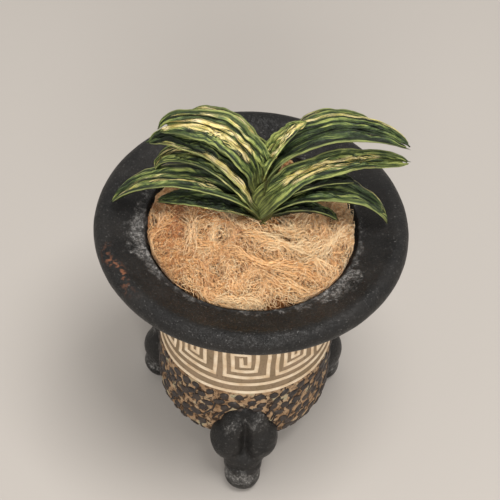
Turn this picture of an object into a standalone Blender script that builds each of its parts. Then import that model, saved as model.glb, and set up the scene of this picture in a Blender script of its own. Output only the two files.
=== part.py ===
"""A wind orchid in sphagnum moss, in a three-footed pot with a wide dished rim.

Metres, +Z up. The origin is on the surface that the pot stands on, under the pot's axis, and -Y is the front.
"""

import math

import bmesh
import bpy
from mathutils import Matrix, Vector

MM = 0.001
TOUCHING_GAP = 0.3 * MM

# Pot
RIM_RADIUS = 55 * MM
RIM_TUBE_RADIUS = 4.3 * MM
RIM_HEIGHT = 105.5 * MM
MOUTH_RADIUS = 37.4 * MM
NECK_RADIUS = 31 * MM
BELLY_RADIUS = 32 * MM
BAND_BOTTOM = 50.3 * MM
WALL = 4.5 * MM
FLOOR_UNDERSIDE = 18 * MM
FLOOR_TOP = 23 * MM
BELLY_TURN = 8 * MM
DRAIN_RADIUS = 10 * MM
POT_STEPS = 48

# The inner wall from the body up to the mouth, as (radius, height)
THROAT = [
    (NECK_RADIUS - WALL, 60 * MM),
    (NECK_RADIUS - WALL, 82 * MM),
    (28.6 * MM, 89 * MM),
    (32 * MM, 96 * MM),
    (35 * MM, 101.5 * MM),
    (36.8 * MM, 104.5 * MM),
]

# Feet
FOOT_COUNT = 3
FIRST_FOOT_ANGLE = math.radians(273)
# Out from the axis, sideways and up, in millimetres
TOE_REACH = 35.5
TOE_RADIUS = 7.4
TOE_HEIGHT = 6
TOE_DROP = 1.5
LOBE_SPREAD = 6.0

# Moss
MOSS_TOP = 110.3 * MM
MOSS_BOTTOM = 36 * MM
MOSS_STEPS = 36

# Plant, in its own frame: X to the right, Y back, Z up the stem
PLANT_BASE = Vector((3.5 * MM, 0.3 * MM, 110.5 * MM))
PLANT_LEAN_BACK = math.radians(9)
STEM_RADIUS = 1.9 * MM
STEM_TOP_RADIUS = 1.2 * MM
STEM_HEIGHT = 18.5 * MM
STEM_DEPTH = 6 * MM
LEAF_THICKNESS = 1.1 * MM
SHEATH_HALF_WIDTH = 1.8 * MM
SHEATH_OPENING = math.radians(38)
LEAF_STATIONS = 14
LEAF_STRIPS = 4

# Roots: direction round the stem in degrees, and reach from the stem's axis
ROOT_RADIUS = 1.2 * MM
ROOT_ROUTES = ((20, 15), (92, 12), (164, 17), (236, 13), (308, 16))
ROOT_POINTS = 9
ROOT_END = 33 * MM

# Leaves, oldest first on each side. Heights and lengths in millimetres, angles in degrees: side,
# height on the stem, distance from its axis, distance behind it, rise at the base, rise at the tip,
# lateness of the bend, length, swing to the back, roll to the back, half width, half opening of the fold.
LEAVES = {
    "leaf_left_1": (-1, 0.9, 5.0, 0, 24, -16, 1.3, 32, 0, -8, 4.4, 70),
    "leaf_left_2": (-1, 2.6, 4.2, 0, 46, -52, 1.1, 54, 3, 0, 6.2, 70),
    "leaf_left_3": (-1, 6.0, 3.6, 0, 52, -74, 1.9, 45, 14, -18, 5.2, 56),
    "leaf_left_4": (-1, 9.7, 3.3, 0, 61, -34, 1.3, 45, 13, -34, 6.2, 48),
    "leaf_left_5": (-1, 13.0, 3.0, 4.2, 77, -36, 1.4, 38, 23, 6, 6.4, 44),
    "leaf_left_6": (-1, 17.6, 3.2, 0, 80, -40, 1.1, 44, 8, -48, 6.4, 56),
    "leaf_right_1": (1, 0.9, 5.0, 0, 28, -34, 1.4, 22, -4, 6, 3.4, 55),
    "leaf_right_2": (1, 2.6, 4.2, 0, 54, -60, 1.0, 46, 3, 0, 6.8, 68),
    "leaf_right_3": (1, 5.6, 3.6, 0, 45, -4, 1.1, 30, 3, 4, 5.2, 62),
    "leaf_right_4": (1, 11.0, 3.3, 0, 58, -18, 0.9, 53, 7, -52, 5.2, 46),
    "leaf_right_5": (1, 13.4, 3.0, 4.2, 72, -44, 1.2, 47, 20, 6, 6.6, 48),
    "leaf_right_6": (1, 17.4, 3.0, 0, 79, -29, 0.9, 55, -3, -14, 6.4, 64),
    "leaf_centre": (1, 20.2, 0.6, 0, 74, 46, 1.0, 24, 4, -26, 4.4, 46),
}

COLLECTION_NAME = "potted_wind_orchid"


def clear_scene():
    for obj in list(bpy.data.objects):
        bpy.data.objects.remove(obj, do_unlink=True)


def make_collection(name):
    collection = bpy.data.collections.new(name)
    bpy.context.scene.collection.children.link(collection)
    return collection


def make_material(name, colour, roughness, metallic=0.0):
    material = bpy.data.materials.new(name)
    material.use_nodes = True
    shader = material.node_tree.nodes["Principled BSDF"]
    shader.inputs["Base Color"].default_value = (*colour, 1)
    shader.inputs["Roughness"].default_value = roughness
    shader.inputs["Metallic"].default_value = metallic
    return material


def add_object(name, data, collection, material=None):
    obj = bpy.data.objects.new(name, data)
    collection.objects.link(obj)
    if material:
        data.materials.append(material)
    return obj


def mesh_from(name, bm, smooth_angle=math.radians(40)):
    mesh = bpy.data.meshes.new(name)
    bm.to_mesh(mesh)
    bm.free()
    mesh.shade_smooth()
    mesh.set_sharp_from_angle(angle=smooth_angle)
    return mesh


def arc(centre, radius, start, end, steps):
    """Points round centre in the (radius, height) plane, from angle start to end in degrees."""
    angles = [math.radians(start + (end - start) * i / steps) for i in range(steps + 1)]
    return [(centre[0] + radius * math.cos(a), centre[1] + radius * math.sin(a)) for a in angles]


def eased(start, end, steps):
    """Points from start to end whose radius leaves slowly and whose height leaves fast: a trumpet's flare."""
    points = []
    for i in range(1, steps):
        turn = 0.5 * math.pi * i / steps
        points.append(
            (
                start[0] + (end[0] - start[0]) * (1 - math.cos(turn)),
                start[1] + (end[1] - start[1]) * math.sin(turn),
            )
        )
    return points


def pot_profile():
    """The wall's closed outline: lip, down the outside, under the floor, up the drain hole and the inside."""
    lip_centre = (RIM_RADIUS - RIM_TUBE_RADIUS, RIM_HEIGHT)
    lip = arc(lip_centre, RIM_TUBE_RADIUS, 110, -80, 9)
    neck_top = (NECK_RADIUS, 76 * MM)
    flare = eased(neck_top, lip[-1], 6)[::-1]
    neck = [neck_top, (NECK_RADIUS - 0.4 * MM, 62 * MM), (NECK_RADIUS + 0.7 * MM, BAND_BOTTOM)]
    belly = [(BELLY_RADIUS, 42 * MM), (BELLY_RADIUS, 35 * MM)]
    belly += arc((BELLY_RADIUS - BELLY_TURN, FLOOR_UNDERSIDE + BELLY_TURN), BELLY_TURN, -5, -90, 5)
    floor = [(DRAIN_RADIUS, FLOOR_UNDERSIDE), (DRAIN_RADIUS, FLOOR_TOP), (18 * MM, FLOOR_TOP)]
    inside = [(24 * MM, 27 * MM), (26 * MM, 36 * MM)] + THROAT
    dish = [(MOUTH_RADIUS, RIM_HEIGHT + 0.2 * MM), (42 * MM, RIM_HEIGHT + 1.2 * MM)]
    dish += [(46 * MM, RIM_HEIGHT + 2.6 * MM)]
    return lip + flare + neck + belly + floor + inside + dish


def screw_object(name, profile, steps, collection, material=None, closed=True):
    """A turned shape: the (radius, height) outline, turned round Z by a Screw modifier."""
    bm = bmesh.new()
    verts = [bm.verts.new((radius, 0, height)) for radius, height in profile]
    ends = verts[1:] + verts[:1] if closed else verts[1:]
    for first, second in zip(verts, ends):
        bm.edges.new((first, second))
    obj = add_object(name, mesh_from(name, bm), collection, material)
    screw = obj.modifiers.new("Turn", "SCREW")
    screw.steps = screw.render_steps = steps
    screw.use_merge_vertices = True
    screw.merge_threshold = 0.00001
    screw.use_smooth_shade = True
    return obj


def add_ellipsoid(name, centre, radii, angle, collection, segments=14, rings=9):
    """A foot's rounded form: centre is (out, sideways, up) and radii the same, turned to the foot's angle."""
    bm = bmesh.new()
    bmesh.ops.create_uvsphere(bm, u_segments=segments, v_segments=rings, radius=1)
    turn = Matrix.Rotation(angle, 4, "Z")
    bm.transform(turn @ Matrix.Translation(centre) @ Matrix.Diagonal((*radii, 1)))
    obj = add_object(name, mesh_from(name, bm), collection)
    obj.hide_render = True
    obj.display_type = "WIRE"
    return obj


def add_feet(collection):
    """Each foot is a pair of swelling lobes on the belly, a heel under them, a shank and a round toe."""
    forms = {
        "lobe_left": ((31, -LOBE_SPREAD, 31.5), (9.4, 7.0, 11.5)),
        "lobe_right": ((31, LOBE_SPREAD, 31.5), (9.4, 7.0, 11.5)),
        "heel": ((31.5, 0, 22), (8.6, 9.2, 9)),
        "shank": ((33.5, 0, 13), (7, 7.0, 8)),
        "toe": ((TOE_REACH, 0, TOE_HEIGHT), (TOE_RADIUS, TOE_RADIUS, TOE_HEIGHT + TOE_DROP)),
    }
    for index in range(FOOT_COUNT):
        angle = FIRST_FOOT_ANGLE + 2 * math.pi * index / FOOT_COUNT
        for form, (centre, radii) in forms.items():
            name = f"foot_{index + 1}_{form}"
            add_ellipsoid(name, Vector(centre) * MM, Vector(radii) * MM, angle, collection)


def add_boolean(obj, name, operation, cutter):
    boolean = obj.modifiers.new(name, "BOOLEAN")
    boolean.operation = operation
    boolean.solver = "EXACT"
    if isinstance(cutter, bpy.types.Collection):
        boolean.operand_type = "COLLECTION"
        boolean.collection = cutter
    else:
        boolean.object = cutter


def add_ground_cutter(collection):
    """Everything below the surface, so that each toe gets a flat pad."""
    bm = bmesh.new()
    bmesh.ops.create_cube(bm, size=1)
    bm.transform(Matrix.Translation((0, 0, -10 * MM)) @ Matrix.Diagonal((0.12, 0.12, 0.02, 1)))
    obj = add_object("ground_cutter", mesh_from("ground_cutter", bm), collection)
    obj.hide_render = True
    obj.display_type = "WIRE"
    return obj


def build_pot(parts, cutters, foot_forms, material):
    pot = screw_object("pot", pot_profile(), POT_STEPS, parts, material)
    add_feet(foot_forms)
    add_boolean(pot, "Feet", "UNION", foot_forms)
    add_boolean(pot, "Pads", "DIFFERENCE", add_ground_cutter(cutters))
    return pot


def moss_profile():
    """The plug from the top of its low dome, down the throat, to the flat underside over the air space."""
    dome = [(0, MOSS_TOP), (9 * MM, MOSS_TOP - 0.2 * MM), (18 * MM, MOSS_TOP - 1.0 * MM)]
    dome += [(26 * MM, MOSS_TOP - 2.6 * MM), (31.5 * MM, MOSS_TOP - 5.2 * MM)]
    dome += [(34.2 * MM, MOSS_TOP - 8 * MM)]
    wall = [(radius - 1.8 * TOUCHING_GAP, height) for radius, height in reversed(THROAT[:-1])]
    base = [(25.4 * MM, MOSS_BOTTOM + 4 * MM), (22.5 * MM, MOSS_BOTTOM), (0, MOSS_BOTTOM)]
    return dome + wall + base


def stem_solid(name, collection, material=None, swell=0.0):
    """The short stem, tapering upwards, with its foot in the moss."""
    bm = bmesh.new()
    bmesh.ops.create_cone(
        bm,
        cap_ends=True,
        segments=12,
        radius1=STEM_RADIUS + swell,
        radius2=STEM_TOP_RADIUS + swell,
        depth=STEM_HEIGHT + STEM_DEPTH + swell,
    )
    bm.transform(Matrix.Translation((0, 0, (STEM_HEIGHT - STEM_DEPTH - swell) / 2)))
    bm.transform(plant_matrix())
    return add_object(name, mesh_from(name, bm), collection, material)


def plant_matrix():
    return Matrix.Translation(PLANT_BASE) @ Matrix.Rotation(-PLANT_LEAN_BACK, 4, "X")


def root_points(direction, reach):
    """A root leaves the stem's foot sideways, then dives through the moss towards the air space."""
    angle = math.radians(direction)
    outward = Vector((math.cos(angle), math.sin(angle), 0))
    stem_foot = plant_matrix() @ Vector((0, 0, -STEM_DEPTH - 1.8 * MM))
    points = []
    for i in range(ROOT_POINTS):
        along = i / (ROOT_POINTS - 1)
        out = 3.0 * MM + reach * MM * math.sin(along * math.pi / 2) ** 0.8
        sway = 1.5 * MM * math.sin(2 * math.pi * along)
        height = stem_foot.z + (ROOT_END - stem_foot.z) * along**1.25
        point = outward * out
        side = Vector((-outward.y, outward.x, 0)) * sway
        points.append(Vector((stem_foot.x * (1 - along), stem_foot.y, height)) + point + side)
    return points


def tube_mesh(name, points, radius):
    """A round tube through the points, made a mesh with its caps welded."""
    curve = bpy.data.curves.new(name, "CURVE")
    curve.dimensions = "3D"
    curve.bevel_depth = radius
    curve.bevel_resolution = 2
    curve.use_fill_caps = True
    spline = curve.splines.new("POLY")
    spline.points.add(len(points) - 1)
    for target, point in zip(spline.points, points):
        target.co = (*point, 1)
    guide = bpy.data.objects.new(name + "_guide", curve)
    bpy.context.scene.collection.objects.link(guide)
    evaluated = guide.evaluated_get(bpy.context.evaluated_depsgraph_get())
    mesh = bpy.data.meshes.new_from_object(evaluated)
    bpy.data.objects.remove(guide, do_unlink=True)
    bm = bmesh.new()
    bm.from_mesh(mesh)
    bpy.data.meshes.remove(mesh)
    bmesh.ops.remove_doubles(bm, verts=bm.verts, dist=0.00001)
    return mesh_from(name, bm)


def build_roots(parts, channels, material):
    for number, (direction, reach) in enumerate(ROOT_ROUTES, start=1):
        points = root_points(direction, reach)
        add_object(f"root_{number}", tube_mesh(f"root_{number}", points, ROOT_RADIUS), parts, material)
        overrun = [points[0] + (points[0] - points[1]) * 0.2]
        overrun += points + [points[-1] + (points[-1] - points[-2])]
        mesh = tube_mesh(f"root_{number}_channel", overrun, ROOT_RADIUS + TOUCHING_GAP)
        channel = add_object(f"root_{number}_channel", mesh, channels)
        channel.hide_render = True
        channel.display_type = "WIRE"


def build_moss(parts, channels, material):
    moss = screw_object("moss", moss_profile(), MOSS_STEPS, parts, material, closed=False)
    socket = stem_solid("stem_socket", channels, swell=TOUCHING_GAP)
    socket.hide_render = True
    socket.display_type = "WIRE"
    add_boolean(moss, "Channels", "DIFFERENCE", channels)
    return moss


class LeafShape:
    """A folded strap leaf. at(along, across) gives a point: along runs 0 to 1, across -1 (front) to 1 (back)."""

    def __init__(self, row):
        self.side, height, distance, behind, rise, tip_rise, self.lateness, length = row[:8]
        swing, roll, half_width, opening = row[8:]
        self.rise = math.radians(rise)
        self.tip_rise = math.radians(tip_rise)
        self.length = length * MM
        self.swing = math.radians(swing)
        self.roll = math.radians(roll)
        self.half_width = half_width * MM
        self.opening = math.radians(opening)
        self.start = Vector((self.side * distance, behind, height)) * MM

    def direction(self, along):
        angle = self.rise + (self.tip_rise - self.rise) * along**self.lateness
        out = math.cos(angle)
        return Vector(
            (self.side * out * math.cos(self.swing), out * math.sin(self.swing), math.sin(angle))
        )

    def spine(self, along, steps=40):
        point = self.start.copy()
        for i in range(steps):
            point += self.direction(along * (i + 0.5) / steps) * (self.length * along / steps)
        return point

    def width(self, along):
        growth = min(along / 0.4, 1)
        width = SHEATH_HALF_WIDTH + (self.half_width - SHEATH_HALF_WIDTH) * growth**2 * (3 - 2 * growth)
        taper = max(along - 0.4, 0) / 0.6
        return width * (1 - 0.72 * taper**2)

    def half_opening(self, along):
        return SHEATH_OPENING + (self.opening - SHEATH_OPENING) * min(along / 0.4, 1)

    def at(self, along, across):
        forward = self.direction(along)
        back = Vector((-self.side * math.sin(self.swing), math.cos(self.swing), 0))
        up = forward.cross(back) * self.side
        turn = Matrix.Rotation(-self.side * self.roll, 3, forward)
        up, back = turn @ up, turn @ back
        opening = self.half_opening(along)
        lean = back * math.copysign(math.sin(opening), across) + up * math.cos(opening)
        return self.spine(along) + lean * self.width(along) * abs(across)


def leaf_mesh(name, shape):
    """A flat grid bent to the leaf's shape: X runs along the leaf and Y across it."""
    bm = bmesh.new()
    bmesh.ops.create_grid(bm, x_segments=LEAF_STATIONS, y_segments=LEAF_STRIPS, size=1)
    for vert in bm.verts:
        vert.co = shape.at((vert.co.x + 1) / 2, vert.co.y)
    bm.transform(plant_matrix())
    return mesh_from(name, bm, smooth_angle=math.radians(60))


def build_leaves(parts, material):
    for name, row in LEAVES.items():
        leaf = add_object(name, leaf_mesh(name, LeafShape(row)), parts, material)
        solidify = leaf.modifiers.new("Thickness", "SOLIDIFY")
        solidify.thickness = LEAF_THICKNESS
        solidify.offset = 0


def build():
    clear_scene()
    parts = make_collection(COLLECTION_NAME)
    cutters = make_collection("cutters")
    foot_forms = make_collection("foot_forms")
    channels = make_collection("moss_channels")
    glaze = make_material("black_stoneware", (0.035, 0.034, 0.036), 0.6)
    fibre = make_material("sphagnum_moss", (0.62, 0.42, 0.25), 0.9)
    bark = make_material("stem_brown", (0.16, 0.17, 0.05), 0.7)
    root_white = make_material("root_velamen", (0.6, 0.58, 0.5), 0.8)
    leaf_green = make_material("leaf_green", (0.12, 0.2, 0.04), 0.45)
    build_pot(parts, cutters, foot_forms, glaze)
    build_roots(parts, channels, root_white)
    build_moss(parts, channels, fibre)
    stem_solid("stem", parts, bark)
    build_leaves(parts, leaf_green)


build()
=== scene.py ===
"""The looks of a small wind orchid in sphagnum moss, in a black three-footed pot with a slip-trailed fret.

Metres, +Z up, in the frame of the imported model. -Y is the front.
"""

import math
import random

import bmesh
import bpy
from mathutils import Matrix, Quaternion, Vector, noise


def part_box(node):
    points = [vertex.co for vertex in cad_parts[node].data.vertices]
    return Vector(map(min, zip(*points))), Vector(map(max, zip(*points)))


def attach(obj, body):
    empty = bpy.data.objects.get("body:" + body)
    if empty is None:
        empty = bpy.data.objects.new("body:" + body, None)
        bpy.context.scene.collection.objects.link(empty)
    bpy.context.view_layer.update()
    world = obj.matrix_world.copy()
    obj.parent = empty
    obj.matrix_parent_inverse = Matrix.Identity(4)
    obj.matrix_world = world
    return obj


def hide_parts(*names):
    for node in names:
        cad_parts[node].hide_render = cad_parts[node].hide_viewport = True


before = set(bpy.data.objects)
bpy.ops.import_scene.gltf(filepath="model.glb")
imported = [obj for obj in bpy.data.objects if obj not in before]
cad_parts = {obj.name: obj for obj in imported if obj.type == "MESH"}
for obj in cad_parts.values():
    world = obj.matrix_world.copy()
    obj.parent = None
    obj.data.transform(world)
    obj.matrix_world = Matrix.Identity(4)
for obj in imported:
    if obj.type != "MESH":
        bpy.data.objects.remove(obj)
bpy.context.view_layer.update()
noise.seed_set(5)

MM = 0.001
POT_LOW, POT_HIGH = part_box("pot")
MOSS_LOW, MOSS_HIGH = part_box("moss")

# Pot
RIM_RADIUS = POT_HIGH.x
LIP_RADIUS = 4.3 * MM
LIP_HEIGHT = POT_HIGH.z - LIP_RADIUS
MOUTH_RADIUS = 37.4 * MM
NECK_RADIUS = 31 * MM
BELLY_RADIUS = 32 * MM
BELLY_TURN = 8 * MM
WALL = 4.5 * MM
FLOOR_UNDERSIDE = 18 * MM
FLOOR_TOP = 23 * MM
DRAIN_RADIUS = 10 * MM
BAND_BOTTOM = 50.3 * MM
BAND_TOP = 82 * MM
POT_STEPS = 160

# Fret band: keys round the band, and their lines
KEY_COUNT = 10
FIRST_KEY_TURN = math.radians(2.2)
SLIP_HALF_WIDTH = 0.74 * MM
SLIP_PROUD = 0.42 * MM
RING_HEIGHTS = (BAND_BOTTOM + 0.5 * MM, 55.0 * MM, BAND_TOP - 0.6 * MM)

# Belly
SPOT_ROWS = 8
SPOTS_IN_ROW = 35

# Feet: which way each one points, in degrees from +X, and the room it takes on the belly
FOOT_TURNS = {"front": 273, "right": 30, "left": 155}
FOOT_HALF_TURN = math.radians(22)
FOOT_HEIGHT = 37 * MM
FOOT_ROOT_RADIUS = 27 * MM
FOOT_VOXEL = 0.6 * MM

# A foot's forms, which run together into one: centre and half sizes in millimetres, with X outward
FOOT_FORMS = (
    # Lower and upper swell of each lobe
    ((31.5, -5.4, 23.5), (8.3, 7.3, 10.0)),
    ((31.5, 5.4, 23.5), (8.3, 7.3, 10.0)),
    ((30.2, -3.4, 30.0), (7.4, 5.6, 10.0)),
    ((30.2, 3.4, 30.0), (7.4, 5.6, 10.0)),
    # Knob on top, and the core behind the groove
    ((30.0, 0, 38.5), (3.8, 3.4, 3.4)),
    ((29.4, 0, 28.0), (6.2, 5.0, 10.0)),
    # Heel, shank and toe
    ((33.0, 0, 15.5), (7.8, 8.2, 6.5)),
    ((34.6, 0, 11), (7.3, 7.3, 5)),
    ((35.8, 0, 5.8), (6.9, 6.9, 7.2)),
)

# Moss. The strands are shared out over pieces, so that no piece holds too many faces.
MOSS_REACH = 37.3 * MM
TUFT_COUNT = 72
STRANDS_IN_TUFT = 130
STRANDS_IN_PIECE = 4700
STRAY_COUNT = 5200
GOLDEN_ANGLE = 2.39996

# Plant, in its own frame: X to the right, Y back, Z up the stem
PLANT_BASE = Vector((3.5 * MM, 0.3 * MM, MOSS_HIGH.z + 0.2 * MM))
PLANT_LEAN_BACK = math.radians(9)
PLANT = Matrix.Translation(PLANT_BASE) @ Matrix.Rotation(-PLANT_LEAN_BACK, 4, "X")
BLADE_THICKNESS = 1.0 * MM
BLADE_STATIONS = 72
BLADE_STRIPS = 40
SHEATH_HALF_WIDTH = 6.2 * MM
SHEATH_OPENING = math.radians(50)
# How far a blade runs on below its base, as a share of its length
SHEATH_FOOT = 0.1
SCRAP_COUNT = 14
ROOT_COUNT = 5

# Leaves, oldest first on each side, close to the CAD's but wider. Millimetres and degrees: side, height on
# the stem, distance from its axis, distance behind it, rise at the base, rise at the tip, lateness of the
# bend, length, swing to the back, roll to the back, half width, half opening of the fold.
LEAVES = {
    "left_1": (-1, 0.9, 5.0, 0, 24, -16, 1.3, 32, 0, -8, 5.0, 70),
    "left_2": (-1, 2.6, 4.2, -0.8, 46, -52, 1.1, 54, 3, 0, 7.1, 70),
    "left_3": (-1, 5.6, 3.0, -1.2, 52, -74, 1.9, 45, 14, -18, 5.9, 56),
    "left_4": (-1, 9.7, 3.3, 0, 61, -34, 1.3, 45, 13, -34, 7.1, 48),
    "left_5": (-1, 13.0, 3.0, 4.2, 77, -36, 1.4, 38, 23, 6, 7.3, 44),
    "left_6": (-1, 17.6, 3.2, 0, 80, -40, 1.1, 44, 8, -48, 7.3, 56),
    "right_1": (1, 0.9, 5.0, 0, 28, -34, 1.4, 22, -4, 6, 3.9, 55),
    "right_2": (1, 2.2, 4.2, -0.8, 54, -60, 1.0, 46, 3, 0, 7.8, 68),
    "right_3": (1, 5.6, 3.6, 0, 45, -4, 1.1, 30, 3, 4, 5.9, 62),
    "right_4": (1, 9.4, 1.2, -2.4, 58, -18, 0.9, 53, 7, -52, 5.9, 46),
    "right_5": (1, 13.4, 3.0, 4.2, 72, -44, 1.2, 47, 20, 6, 7.5, 48),
    "right_6": (1, 17.4, 3.0, 0, 79, -29, 0.9, 55, -3, -14, 7.3, 64),
    "centre": (1, 20.2, 0.6, 0, 74, 46, 1.0, 24, 4, -26, 5.0, 46),
}

# Cream bands on each leaf: centre across the blade (-1 front margin, 0 fold, 1 back margin), half width,
# strength, and where along the blade they start and end.
BANDS = {
    "left_1": ((-0.96, 0.10, 0.7, 0.05, 0.5),),
    "left_2": ((-0.24, 0.24, 1.0, 0.28, 1.0), (0.25, 0.06, 0.5, 0.3, 0.9), (0.95, 0.12, 0.5, 0.5, 1.0)),
    "left_3": ((0.5, 0.34, 0.62, 0.25, 1.0), (-0.95, 0.1, 0.5, 0.1, 0.7)),
    "left_4": ((-0.8, 0.26, 0.95, 0.0, 0.55), (-0.92, 0.12, 0.6, 0.5, 0.95)),
    "left_5": ((0.75, 0.18, 0.7, 0.1, 0.9), (-0.5, 0.25, 0.5, 0.2, 0.7)),
    "left_6": ((-0.3, 0.32, 1.1, 0.18, 1.0), (0.3, 0.16, 0.95, 0.2, 0.9), (0.72, 0.1, 0.5, 0.3, 0.9)),
    "right_1": ((0.9, 0.1, 0.4, 0.2, 0.8),),
    "right_2": ((0.97, 0.08, 0.8, 0.5, 0.95), (0.0, 0.9, 0.55, 0.86, 1.0)),
    "right_3": ((0.9, 0.1, 0.4, 0.2, 0.8),),
    "right_4": ((0.15, 0.42, 1.05, 0.18, 0.82), (-0.5, 0.22, 0.85, 0.22, 0.7), (-0.95, 0.1, 0.5, 0.6, 1.0)),
    "right_5": ((0.2, 0.3, 0.75, 0.45, 0.9), (0.9, 0.15, 0.5, 0.1, 0.6)),
    "right_6": ((0.95, 0.1, 0.8, 0.1, 1.0), (-0.35, 0.12, 0.42, 0.2, 0.8)),
    "centre": ((-0.45, 0.42, 1.0, 0.3, 1.0), (0.5, 0.2, 0.6, 0.2, 0.95)),
}

# How pale each leaf's green is, from 0, the darkest, to 1
PALENESS = {
    "left_1": 0.15,
    "left_2": 0.4,
    "left_3": 0.45,
    "left_4": 0.3,
    "left_5": 0.6,
    "left_6": 0.5,
    "right_1": 0.1,
    "right_2": 0.3,
    "right_3": 0.05,
    "right_4": 0.6,
    "right_5": 0.5,
    "right_6": 0.3,
    "centre": 0.7,
}


# Finishes

# The mix node's sockets for colours, which share their names with its sockets for numbers
FIRST_COLOUR = 6
SECOND_COLOUR = 7
MIXED_COLOUR = 2


def tone(red, green, blue):
    """A colour given from 0 to 255 as a screen shows it, as the linear one that a socket takes."""
    return tuple(((c / 255 + 0.055) / 1.055) ** 2.4 for c in (red, green, blue)) + (1,)


class Finish:
    """A material, with a short call for each kind of node that these finishes use."""

    def __init__(self, name, **sockets):
        self.material = bpy.data.materials.new(name)
        self.material.use_nodes = True
        self.tree = self.material.node_tree
        self.shader = self.tree.nodes["Principled BSDF"]
        for socket, value in sockets.items():
            self.shader.inputs[socket.replace("_", " ")].default_value = value
        self.place = self.add("ShaderNodeTexCoord").outputs["Object"]

    def add(self, kind, **settings):
        node = self.tree.nodes.new(kind)
        for name, value in settings.items():
            setattr(node, name, value)
        return node

    def feed(self, socket, value):
        if isinstance(value, bpy.types.NodeSocket):
            self.tree.links.new(value, socket)
        else:
            socket.default_value = value

    def painted(self, name):
        """What the mesh carries for this finish at each of its points."""
        return self.add("ShaderNodeAttribute", attribute_name=name).outputs["Fac"]

    def sum(self, operation, first, second):
        node = self.add("ShaderNodeMath", operation=operation)
        self.feed(node.inputs[0], first)
        self.feed(node.inputs[1], second)
        return node.outputs[0]

    def spread(self, value, low, high, start=0.0, end=1.0):
        """Carries low to high over to start to end, smoothly, and stops there."""
        node = self.add("ShaderNodeMapRange", interpolation_type="SMOOTHSTEP")
        self.feed(node.inputs["Value"], value)
        for socket, limit in zip(("From Min", "From Max", "To Min", "To Max"), (low, high, start, end)):
            node.inputs[socket].default_value = limit
        return node.outputs["Result"]

    def vector(self, x, y, z):
        node = self.add("ShaderNodeCombineXYZ")
        for socket, value in zip(node.inputs, (x, y, z)):
            self.feed(socket, value)
        return node.outputs[0]

    def stretched(self, factors, where=None):
        node = self.add("ShaderNodeVectorMath", operation="MULTIPLY")
        self.feed(node.inputs[0], where or self.place)
        node.inputs[1].default_value = factors
        return node.outputs[0]

    def grain(self, scale, detail=3.0, roughness=0.55, where=None, distortion=0.0):
        node = self.add("ShaderNodeTexNoise")
        self.feed(node.inputs["Vector"], where or self.place)
        node.inputs["Scale"].default_value = scale
        node.inputs["Detail"].default_value = detail
        node.inputs["Roughness"].default_value = roughness
        node.inputs["Distortion"].default_value = distortion
        return node.outputs["Fac"]

    def ramp(self, factor, *stops):
        node = self.add("ShaderNodeValToRGB")
        self.feed(node.inputs["Fac"], factor)
        elements = node.color_ramp.elements
        while len(elements) < len(stops):
            elements.new(0.5)
        for element, (position, colour) in zip(elements, stops):
            element.position = position
            element.color = colour
        return node.outputs["Color"]

    def mix(self, factor, first, second):
        node = self.add("ShaderNodeMix", data_type="RGBA")
        self.feed(node.inputs["Factor"], factor)
        self.feed(node.inputs[FIRST_COLOUR], first)
        self.feed(node.inputs[SECOND_COLOUR], second)
        return node.outputs[MIXED_COLOUR]

    def colour(self, value):
        self.feed(self.shader.inputs["Base Color"], value)

    def rough(self, value):
        self.feed(self.shader.inputs["Roughness"], value)

    def bump(self, height, distance):
        node = self.add("ShaderNodeBump")
        self.feed(node.inputs["Height"], height)
        node.inputs["Distance"].default_value = distance
        self.feed(self.shader.inputs["Normal"], node.outputs[0])


def black_stoneware():
    """Matt charcoal clay, with chalk where the mesh says, partly a painted highlight along the front of the
    lip's crown, and rust rubbed through on the lip.
    """
    finish = Finish("black_stoneware", Specular_IOR_Level=0.32)
    cloud = finish.grain(90, detail=4)
    body = finish.ramp(cloud, (0.3, tone(13, 13, 13)), (0.7, tone(36, 34, 32)))
    salt = finish.spread(finish.grain(2100, detail=1), 0.67, 0.77, 0.0, 0.6)
    body = finish.mix(salt, body, tone(132, 130, 127))
    speck = finish.spread(finish.grain(800, detail=6, roughness=0.85), 0.47, 0.6, 0.12, 1.0)
    drift = finish.grain(230, detail=5, roughness=0.75, distortion=0.5)
    # Chalk specks where the mesh says; along the front of the lip's crown they are partly a painted
    # highlight.
    patch = finish.spread(finish.sum("ADD", drift, finish.painted("chalk_and_highlight")), 0.84, 1.04)
    chalk = finish.sum("MULTIPLY", speck, patch)
    body = finish.mix(chalk, body, tone(146, 144, 141))
    rubbed = finish.sum("MULTIPLY", finish.painted("rust"), finish.spread(finish.grain(600), 0.46, 0.6))
    body = finish.mix(rubbed, body, tone(134, 86, 60))
    finish.colour(body)
    finish.rough(finish.spread(finish.grain(300), 0.3, 0.7, 0.34, 0.52))
    pits = finish.sum("ADD", finish.grain(420, detail=5, roughness=0.65), finish.sum("MULTIPLY", speck, 0.15))
    finish.bump(pits, 0.45 * MM)
    return finish.material


def band_clay():
    """Bare taupe clay behind the fret, combed and dusty."""
    finish = Finish("band_clay", Specular_IOR_Level=0.2)
    fleck = finish.grain(900, detail=4, roughness=0.7)
    wash = finish.grain(110, detail=3)
    body = finish.ramp(wash, (0.3, tone(136, 118, 92)), (0.7, tone(158, 136, 112)))
    body = finish.mix(finish.spread(fleck, 0.52, 0.75), body, tone(112, 92, 72))
    finish.colour(body)
    finish.rough(0.9)
    finish.bump(fleck, 0.25 * MM)
    return finish.material


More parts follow.
